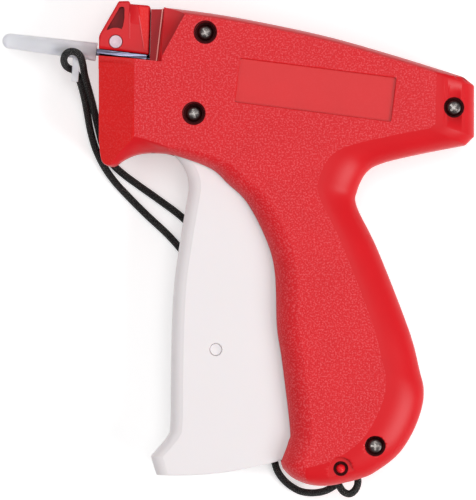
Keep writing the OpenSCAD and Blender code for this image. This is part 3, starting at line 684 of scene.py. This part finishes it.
for name, far in (("left_shell", False), ("right_shell", True)):
    skin = shell_skin(name + "_skin")
    if far:
        flipped = bmesh.new()
        flipped.from_mesh(skin.data)
        bmesh.ops.scale(flipped, vec=(1, 1, -1), verts=flipped.verts)
        bmesh.ops.translate(flipped, vec=(0, 0, thick), verts=flipped.verts)
        bmesh.ops.reverse_faces(flipped, faces=flipped.faces)
        flipped.to_mesh(skin.data)
        flipped.free()
    else:
        carve(skin, [recess_cut(x, y) for x, y in screw_places])
    # What is left of the CAD shell's inside is in the darker red of painted shade.
    shell = cad_copy(name, inner_shaded_red)
    carve(shell, [skin], "INTERSECT")
    low, high = (hair, parting) if far else (parting, near_face)
    added = []
    for label, finish, way, corners in head_forms:
        places = [(x, y, z) for x, y, drop in corners for z in (
            (low + drop, high - way) if far else (low + way, high - drop))]
        added.append(hull(label, places, finish))
    carve(shell, added, "UNION")
    to_metres(shell, name + "_moulding")
    soften(shell)
    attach(shell, "housing")
    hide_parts(name)


# ---------------------------------------------------------------- screws
# Four zinc plated steel screws with domed cross-recessed heads, at the foot of deep round
# holes in the left shell. Their threads run into the right shell's bosses.
# The zinc is painted shade: very dark, as the heads lie at the foot of deep holes, and varied
# at random by the scuffs noise.
screw_zinc_painted_shade, tree, shader = material("zinc_plate_painted_shade", (0.60, 0.585, 0.58), 0.30, Metallic=1.0)
where = node(tree, "TexCoord").outputs["Object"]
scuffs = node(tree, "TexNoise", {"Vector": where, "Scale": 2600.0, "Detail": 4.0})
dull = node(tree, "MapRange", {"Value": scuffs.outputs["Fac"], "To Min": 0.18, "To Max": 0.5})
tree.links.new(dull.outputs["Result"], shader.inputs["Roughness"])
bumped(tree, shader, 0.6, 0.00006, scuffs.outputs["Fac"])
tinted(tree, shader, scuffs.outputs["Fac"], (0.02, 0.015, 0.015), (0.20, 0.18, 0.175))
# The walls of the cross recess get a bright zinc, a painted glint.
cross_glint_zinc = material("cross_glint_zinc", (0.80, 0.78, 0.76), 0.62, Metallic=0.6)[0]


def brick(size, middle=(0, 0, 0)):
    """A box of a size about its middle."""
    bm = bmesh.new()
    bmesh.ops.create_cube(bm, size=1.0)
    bmesh.ops.scale(bm, vec=size, verts=bm.verts)
    bmesh.ops.translate(bm, vec=middle, verts=bm.verts)
    return bm


head_seat = 23.8
head_profile = [
    (0, 25.38), (0.9, 25.36), (1.5, 25.28), (1.95, 25.1), (2.28, 24.8), (2.45, 24.4),
    (2.46, 24.05), (2.4, head_seat), (1.24, head_seat),
]
thread_pitch = 0.9
thread_foot = 5.4
thread_core, thread_crest = 1.0, 1.24
z = head_seat - 1.0
while z > thread_foot:
    head_profile += [(thread_core, z), (thread_crest, z - thread_pitch * 0.5),
                     (thread_core, z - thread_pitch * 0.9)]
    z -= thread_pitch
head_profile += [(0.6, 4.7), (0, 4.5)]
cross_size = (3.9, 0.85, 2.4)
cross_taper = (0.34, 0.5, 1.0)
cross_place = 25.3
cross_turns = (28, 12, 48, 0)
screws = []
for (x, y), turn in zip(screw_places, cross_turns):
    screw = lathed(head_profile, (x, y, 0), screw_zinc_painted_shade, 40, "housing_screw")
    arms = []
    for across in (0, 90):
        bm = brick(cross_size)
        foot = [v for v in bm.verts if v.co.z < 0]
        bmesh.ops.scale(bm, vec=cross_taper, verts=foot)
        bmesh.ops.rotate(bm, verts=bm.verts, cent=(0, 0, 0),
                         matrix=Matrix.Rotation(math.radians(turn + across), 3, "Z"))
        bmesh.ops.translate(bm, vec=(x, y, cross_place), verts=bm.verts)
        arms.append(shown("cross_arm", bm, cross_glint_zinc, scale=1.0))
    carve(screw, arms)
    screws.append(screw)
joined = bmesh.new()
for screw in screws:
    joined.from_mesh(screw.data)
    bpy.data.objects.remove(screw)
all_screws = shown("cross_head_screws", joined, screw_zinc_painted_shade, cross_glint_zinc)
soften(all_screws, 40)
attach(all_screws, "housing")
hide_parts("housing_screws")


# ---------------------------------------------------------------- trigger and its tie pin
# A channel of warm white ABS, satin, with a broad bevel down each side of its front for the
# fingers. Its eye turns on the boss round the second screw, and a round pin ties its plates.
trigger_low, trigger_high = 6.5, 21.5
trigger_front = [
    (-20.9, 29.6), (-19.2, 26.3), (-16.9, 23.5), (-15.4, 20), (-15, 17), (-15.4, 13.5),
    (-17.5, 1), (-19.3, -11.9), (-20, -24.8), (-20.3, -38.8), (-20.5, -54.2),
    (-21.5, -58.1), (-25, -62.4), (-26.5, -64.1),
]
foot_ends = ((-24.6, -69.6), (18.44, -63.31))
trigger_rear = [
    (19.3, -60.8), (20, -57), (18.6, -45), (17.4, -33), (17.6, -24), (19.2, -17), (19.6, -8),
]
pivot = Vector(screw_places[1])
tie_place = (-6.7, -31.8)
tie_radius = 1.8
trigger_round = 0.5
bevel_width = 4.4
bevel_depth = 3.4
groove_rim = 0.22
foot = []
reach = [(Vector(p) - pivot).length for p in foot_ends]
swing = [math.atan2(p[0] - pivot.x, pivot.y - p[1]) for p in foot_ends]
for k in range(25):
    a = swing[0] + (swing[1] - swing[0]) * k / 24
    far = reach[0] + (reach[1] - reach[0]) * k / 24
    foot.append(Vector((pivot.x + far * math.sin(a), pivot.y - far * math.cos(a))))
hidden = [Vector(c) for c in ((34, 4), (34, 60), (-34, 60), (-34, 40))]
trigger_outline = (curve_through(trigger_front, 8) + foot + curve_through(trigger_rear, 6)
                   + hidden)
trigger_outline.reverse()


def satin_white(name, colour, roughness):
    """White ABS with a fine satin grain and a little unevenness in its tone."""
    made, tree, shader = material(name, colour, roughness, Coat_Weight=0.12,
                                  Coat_Roughness=0.25)
    shader.inputs["Subsurface Weight"].default_value = 0.08
    shader.inputs["Subsurface Radius"].default_value = (0.002, 0.0014, 0.001)
    where = node(tree, "TexCoord").outputs["Object"]
    cloud = node(tree, "TexNoise", {"Vector": where, "Scale": 38.0, "Detail": 3.0})
    tinted(tree, shader, cloud.outputs["Fac"], [c * 0.975 for c in colour], colour)
    grain = node(tree, "TexNoise", {"Vector": where, "Scale": 4200.0, "Detail": 2.0})
    bumped(tree, shader, 0.35, 0.00003, grain.outputs["Fac"])
    return made


def rounded_rings(low, high, radius, inset=0.0, top_radius=None):
    """The rings of a stack from low to high, with its lower and upper edge rounded over."""
    arcs = [(1 - math.cos(a), math.sin(a)) for a in (0, 0.4, 0.8, 1.18, math.pi / 2)]
    top = radius if top_radius is None else top_radius
    rings = [(low + radius * (1 - rise), inset + radius * inn, 0, 0)
             for inn, rise in reversed(arcs)]
    return rings + [(high - top * (1 - rise), inset + top * inn, 0, 0) for inn, rise in arcs]


trigger_white = satin_white("trigger_white", (0.905, 0.850, 0.862), 0.42)
turns = [math.radians(8 + 74 * k / 10) for k in range(11)]
sweep = [(bevel_depth * math.sin(a), bevel_width * (1 - math.cos(a))) for a in turns]
bevels = [(trigger_low - 0.2, 0.05, bevel_width, 0)]
bevels += [(trigger_low + bevel_depth - up, 0.05, back, 0) for up, back in reversed(sweep)]
bevels += [(trigger_high - bevel_depth + up, 0.05, back, 0) for up, back in sweep]
bevels.append((trigger_high + 0.2, 0.05, bevel_width, 0))
grip = stack("trigger_outside", trigger_outline,
             rounded_rings(trigger_low + hair, trigger_high - hair, trigger_round, draw_in),
             [trigger_white])
carve(grip, [stack("trigger_bevels", trigger_outline, bevels, [trigger_white])], "INTERSECT")
bore = tie_radius + 0.03
wide = tie_radius + 0.05 + groove_rim
groove = [(0, trigger_low - 1), (wide, trigger_low - 1), (wide, trigger_low),
          (bore, trigger_low + groove_rim), (bore, trigger_high - groove_rim),
          (wide, trigger_high), (wide, trigger_high + 1), (0, trigger_high + 1)]
carve(grip, [lathed(groove, (*tie_place, 0), trigger_white)])
trigger = cad_copy("trigger", trigger_white)
carve(trigger, [grip], "INTERSECT")
to_metres(trigger, "squeeze_trigger")
soften(trigger, 22)
pin_low, pin_high = 6.7, 21.3
pin_profile = [(0, pin_low + 0.15), (1.2, pin_low + 0.1), (1.62, pin_low),
               (1.78, pin_low + 0.2), (1.78, pin_high - 0.2), (1.62, pin_high),
               (1.2, pin_high - 0.1), (0, pin_high - 0.15)]
tie_pin = to_metres(lathed(pin_profile, (*tie_place, 0), trigger_white, 48, "tie_pin"))
soften(tie_pin, 50)
for piece, stands_for in ((trigger, "trigger"), (tie_pin, "trigger_tie_pin")):
    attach(piece, "trigger_group")
    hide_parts(stands_for)


# ---------------------------------------------------------------- needle block
# A red ABS block that stands over the nose and holds the needle's base. A three-cornered
# hollow lightens it, and beside that a rib thins away as it comes down. The needle lock's
# shaft passes through it, and its leg goes down into the nose.
# The crest and ridge strips are a lighter red, painted highlights along the rib's edges.
crest_highlight_red = red_plastic("crest_highlight_red", (0.820, 0.060, 0.075), 0.34, 0.000004, 0.0)
# The hollow is a dark red, painted shade.
hollow_painted_shade_red = red_plastic("hollow_painted_shade_red", (0.260, 0.006, 0.010), 0.45, 0.00001, 0.0, 0.2)
block_low, block_high = 5.0, 23.0
block_round = 0.55
block_edge = [
    (-41.7, 58.45), (-41.7, 61.8), (-41.5, 62.6), (-40.95, 63.6), (-35.9, 72.4),
    (-35.6, 72.65), (-32.9, 72.7), (-32.5, 72.5), (-32.2, 71.8), (-27.2, 71.4),
    (-26.6, 71.2), (-26.3, 70.8), (-26.7, 57.1), (-27.0, 56.7),
]
lock_place = (-36.66, 60.5)
lock_radius = 1.92
needle_place = (-42.65, 57.7, parting)
seat_size, seat_middle = (22, 1.78, 18.0), (9, -0.11, 4.3)
leg_size, leg_gap = (8, 12.4, 3.9), 4.7
hollow_depth = 1.9
arc_from, arc_to, arc_radius = 62, 118, 4.15
block = stack("needle_holder", [Vector(p) for p in block_edge],
              rounded_rings(block_low + 0.01, block_high - 0.01, block_round),
              [polished_red])


def on_needle_line(bm):
    """Turns and moves what is drawn along X from the needle's base into its place."""
    bmesh.ops.rotate(bm, verts=bm.verts, cent=(0, 0, 0),
                     matrix=Matrix.Rotation(-head_tilt, 3, "Z"))
    bmesh.ops.translate(bm, vec=needle_place, verts=bm.verts)


# The seat and the lock's bore leave their faces in the darker red of painted shade.
bm = brick(seat_size, seat_middle)
on_needle_line(bm)
base_seat = shown("base_seat", bm, inner_shaded_red, scale=1.0)
lock_bore = lathed([(0, 0), (lock_radius + 0.05, 0), (lock_radius + 0.05, block_high - 0.2),
                    (lock_radius + 0.25, block_high), (lock_radius + 0.25, block_high + 1),
                    (0, block_high + 1)], (*lock_place, 0), inner_shaded_red)
hollow_edge = [(-34.9, 71.0), (-34.3, 70.9), (-34.0, 70.4), (-34.05, 67.5),
               (-34.45, 65.1), (-34.8, 64.5)]
for k in range(9):
    a = math.radians(arc_from + (arc_to - arc_from) * k / 8)
    hollow_edge.append((lock_place[0] + arc_radius * math.cos(a),
                        lock_place[1] + arc_radius * math.sin(a)))
hollow_edge += [(-39.3, 63.9), (-39.2, 64.5), (-35.5, 70.7)]
hollow = plate(hollow_edge, block_high - hollow_depth, block_high + 1, hollow_painted_shade_red)
carve(block, [base_seat, lock_bore, hollow])
rib = [(x, y, block_high - 0.4 + z) for x, y, z in (
    (-33.0, 71.6, 0.0), (-29.4, 71.3, 0.0), (-29.0, 66.5, 0.0), (-28.2, 62.0, 0.0),
    (-32.8, 62.4, 0.0), (-33.4, 66.0, 0.0), (-32.0, 71.4, 0.85), (-30.0, 71.2, 0.85),
    (-29.9, 67.0, 0.55), (-32.2, 67.0, 0.5))]
ridges = [hull("block_rib", rib, polished_red)]
# The first strip lays the facet's red over the block's right side as painted shade where it
# falls towards the slot.
for name, finish, lift, corners in (
        ("block_side_shade", facet_red, 0.06, ((-29.9, 71.0), (-26.9, 70.6), (-27.2, 57.9),
                                         (-28.2, 58.2))),
        ("block_crest", crest_highlight_red, 0.22, ((-30.2, 71.0), (-29.95, 71.0), (-28.9, 64.5),
                                          (-28.1, 58.6), (-28.25, 58.6), (-29.15, 64.5))),
        ("block_ridge", crest_highlight_red, 0.16, ((-32.5, 69.6), (-32.3, 69.6), (-32.35, 61.4),
                                          (-32.5, 61.4)))):
    ridges.append(hull(name, [(x, y, z) for x, y in corners for z in (
        block_high - 0.6, block_high - 0.01 + lift)], finish))
carve(block, ridges, "UNION")
leg = brick(leg_size, (-32, 53.2, parting - leg_gap - leg_size[2] / 2))
carve(block, [shown("block_leg", leg, polished_red, scale=1.0)], "UNION")
to_metres(block)
soften(block, 24)
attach(block, "housing")
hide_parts("needle_block")


# ---------------------------------------------------------------- needle lock
# A pale plastic shaft across the block with a flat lever on its far end. Turned by hand, it
# lets go of the needle's base. Only the shaft's end shows from this side.
lock_plastic, tree, shader = material("lock_plastic", (0.700, 0.510, 0.590), 0.34,
                                      Coat_Weight=0.2, Coat_Roughness=0.15)
shader.inputs["Subsurface Weight"].default_value = 0.25
shader.inputs["Subsurface Radius"].default_value = (0.002, 0.0012, 0.0012)
where = node(tree, "TexCoord").outputs["Object"]
cloud = node(tree, "TexNoise", {"Vector": where, "Scale": 700.0, "Detail": 3.0})
tinted(tree, shader, cloud.outputs["Fac"], (0.740, 0.530, 0.640), (0.860, 0.680, 0.730))
shaft_profile = [(0, 5.0), (1.9, 5.0), (1.9, 22.75), (1.83, 22.92), (1.6, 22.95),
                 (1.45, 22.86), (0, 22.8)]
lock = lathed(shaft_profile, (*lock_place, 0), lock_plastic, 48, "lock_shaft")
lever_low, lever_high = 1.92, 4.88
lever_eye, lever_end = 2.98, 1.98
lever_tip = Vector((-31.6, 68.2))
lever_side = Vector((lever_tip.y - lock_place[1], lock_place[0] - lever_tip.x)).normalized()
lean = math.atan2(lever_side.y, lever_side.x)
lever_edge = []
for middle, radius, begin in ((Vector(lock_place), lever_eye, lean),
                              (lever_tip, lever_end, lean - math.pi)):
    for k in range(17):
        a = begin - math.pi * k / 16
        lever_edge.append(middle + radius * Vector((math.cos(a), math.sin(a))))
lever = stack("lock_lever", lever_edge,
              rounded_rings(lever_low, lever_high, 0.5, top_radius=0.2), [lock_plastic])
joined = bmesh.new()
for part in (lock, lever):
    joined.from_mesh(part.data)
    bpy.data.objects.remove(part)
needle_lock = shown("needle_lock_lever", joined, lock_plastic)
soften(needle_lock, 40)
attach(needle_lock, "lock_group")
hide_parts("needle_lock")


# ---------------------------------------------------------------- needle cap
# A soft translucent polyethylene sleeve that is pushed over the needle, closed and rounded
# at its tip. A flat tab hangs from its side, and the strap is looped round it.
cap_plastic, tree, shader = material("cap_plastic", (0.86, 0.87, 0.97), 0.32,
                                     Transmission_Weight=0.35, IOR=1.25)
shader.inputs["Subsurface Weight"].default_value = 0.2
shader.inputs["Subsurface Radius"].default_value = (0.002, 0.002, 0.003)
where = node(tree, "TexCoord").outputs["Object"]
flow = node(tree, "TexNoise", {"Vector": where, "Scale": 320.0, "Detail": 2.0})
bumped(tree, shader, 0.2, 0.00003, flow.outputs["Fac"])
tinted(tree, shader, flow.outputs["Fac"], (0.930, 0.935, 1.0), (0.970, 0.970, 1.0))
cap_length, mouth, tip = 28.6, 2.75, 2.3
sleeve_bore, grip_bore, grip_depth = 1.4, 1.16, 4.0
tab_size, tab_middle = (2.06, 8.0, 1.16), (1.03, 4.05, parting + 1.2)
tab_turn, tab_place = math.radians(-4), (-50.2, 48.7, 0)
profile = [(0, 0.02)] + [(tip * math.sin(a), 0.02 + tip * (1 - math.cos(a)))
                         for a in [math.pi / 2 * k / 10 for k in range(1, 10)]]
profile += [(tip, tip), (mouth, cap_length - 0.15), (mouth - 0.12, cap_length),
            (grip_bore + 0.2, cap_length), (grip_bore, cap_length - 0.2),
            (grip_bore, cap_length - grip_depth), (sleeve_bore, cap_length - grip_depth),
            (sleeve_bore, 3.6), (0.9, 2.8), (0, 2.6)]
bm = bmesh.new()
verts = [bm.verts.new((z - cap_length, r, 0)) for r, z in profile]
edges = [bm.edges.new(pair) for pair in zip(verts, verts[1:])]
bmesh.ops.spin(bm, geom=verts + edges, axis=(1, 0, 0), cent=(0, 0, 0), angle=2 * math.pi,
               steps=56, use_merge=True)
bmesh.ops.remove_doubles(bm, verts=bm.verts, dist=0.0002)
bmesh.ops.recalc_face_normals(bm, faces=bm.faces)
on_needle_line(bm)
cap = shown("needle_sleeve", bm, cap_plastic, scale=1.0)
tab = brick(tab_size, tab_middle)
bmesh.ops.bevel(tab, geom=tab.edges[:], offset=0.18, segments=2, profile=0.5,
                affect="EDGES", material=-1)
bmesh.ops.rotate(tab, verts=tab.verts, cent=(0, 0, 0),
                 matrix=Matrix.Rotation(tab_turn, 3, "Z"))
bmesh.ops.translate(tab, vec=tab_place, verts=tab.verts)
carve(cap, [shown("cap_tab", tab, cap_plastic, scale=1.0)], "UNION")
to_metres(cap)
soften(cap, 40)
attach(cap, "housing")
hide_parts("needle_cap")


# ---------------------------------------------------------------- strap pin
# A red rod with domed ends, pressed through the handle's foot. It holds the strap's bight,
# and its end shows in a round hole in the arched pocket.
pin_red = red_plastic("pin_red", (0.850, 0.012, 0.022), 0.22, 0.000004, 0.0)
pin_radius = 1.33
pin_reach = 12.38
half_pin = [(r, pin_reach + z) for r, z in (
    (0, 0.7), (0.45, 0.62), (0.85, 0.38), (1.15, 0.02), (pin_radius, -0.6))]
profile = [(r, parting + z) for r, z in half_pin]
profile += [(r, parting - z) for r, z in reversed(half_pin)]
strap_pin = to_metres(lathed(profile, (*strap_pin_place, 0), pin_red, 48, "strap_pin_rod"))
soften(strap_pin, 60)
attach(strap_pin, "housing")
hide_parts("strap_pin")


# ---------------------------------------------------------------- works inside the housing
# The needle, the ejector rod, the pins, spring, blade and pawl are bright steel. The drive
# lever, slide, rod guide and feed wheel are moulded in natural white acetal.


def bright_steel(name, colour, rough_low, rough_high, streak):
    """Drawn or ground steel, its fine lines drawn out along streak. Its colour runs from dark
    to bright along the lines: painted reflections as well as the lines themselves.
    """
    made, tree, shader = material(name, colour, 0.25, Metallic=1.0)
    where = node(tree, "TexCoord").outputs["Object"]
    drawn = node(tree, "Mapping", {"Vector": where, "Scale": streak})
    lines = node(tree, "TexNoise", {"Vector": drawn.outputs["Vector"], "Scale": 900.0,
                                    "Detail": 3.0})
    dull = node(tree, "MapRange", {"Value": lines.outputs["Fac"], "To Min": rough_low,
                                   "To Max": rough_high})
    tree.links.new(dull.outputs["Result"], shader.inputs["Roughness"])
    lines_and_sheen = node(tree, "MapRange", {"Value": lines.outputs["Fac"], "From Min": 0.46,
                                       "From Max": 0.62})
    tinted(tree, shader, lines_and_sheen.outputs["Result"], [c * 0.15 for c in colour], colour)
    return made


needle_steel = bright_steel("needle_steel", (0.30, 0.30, 0.44), 0.20, 0.40, (0.1, 2.0, 2.0))
wire_steel = bright_steel("wire_steel", (0.55, 0.55, 0.56), 0.2, 0.4, (1.0, 1.0, 0.2))
blade_steel = bright_steel("blade_steel", (0.62, 0.63, 0.66), 0.15, 0.35, (0.3, 2.0, 1.0))
acetal = satin_white("natural_acetal", (0.80, 0.80, 0.77), 0.36)
for finish, names in (
        (needle_steel, ("needle",)),
        (wire_steel, ("trigger_spring", "lever_pivot_pin", "lower_drive_pin",
                      "upper_drive_pin", "ejector_rod", "feed_wheel_axle")),
        (blade_steel, ("cutter_blade", "feed_pawl")),
        (acetal, ("drive_lever", "slide", "rod_guide", "feed_wheel"))):
    for name in names:
        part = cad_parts[name]
        part.data.materials.clear()
        part.data.materials.append(finish)


low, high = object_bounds()
